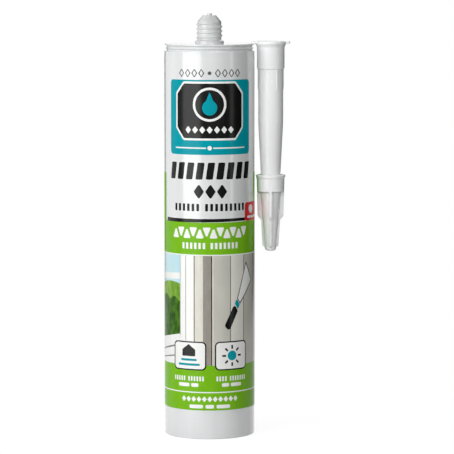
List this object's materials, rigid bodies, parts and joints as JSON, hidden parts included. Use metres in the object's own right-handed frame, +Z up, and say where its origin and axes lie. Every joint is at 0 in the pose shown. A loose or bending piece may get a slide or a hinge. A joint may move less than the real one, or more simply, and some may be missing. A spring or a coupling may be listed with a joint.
{
  "type": "caulk cartridge",
  "caption": "Caulk cartridge with a ringed shoulder, a closed threaded neck and a push-up piston, and its screw-on nozzle with a finned push-on cap.",
  "frame": {"origin": "centre of the cartridge's open rear end, in the plane of the rim it stands on", "axes": "+Z up the cartridge's axis towards the neck, +X towards the nozzle beside it, -Y towards the front of the label"},
  "size_m": [0.0689, 0.0496, 0.2314],
  "materials": {
    "tube_plastic": "smooth white polyethylene",
    "label_print": "gloss printed film, mostly green and white",
    "piston_plastic": "satin polyethylene",
    "sealant_paste": "smooth grey paste",
    "nozzle_plastic": "milky translucent polyethylene",
    "cap_plastic": "milky translucent polyethylene"
  },
  "bodies": {
    "cartridge": {"cartridge_tube": "tube_plastic", "printed_label": "label_print", "sealant": "sealant_paste", "nozzle": "nozzle_plastic"},
    "piston": {"piston": "piston_plastic"},
    "cap": {"nozzle_cap": "cap_plastic"}
  },
  "joints": [
    {"name": "piston_slide", "type": "slide", "parent": "cartridge", "child": "piston", "axis": [0, 0, 1], "range_m": [0, 0.178], "deforming": ["sealant"]},
    {"name": "cap_pull", "type": "slide", "parent": "cartridge", "child": "cap", "axis": [0, 0, -1], "range_m": [0, 0.045]}
  ]
}
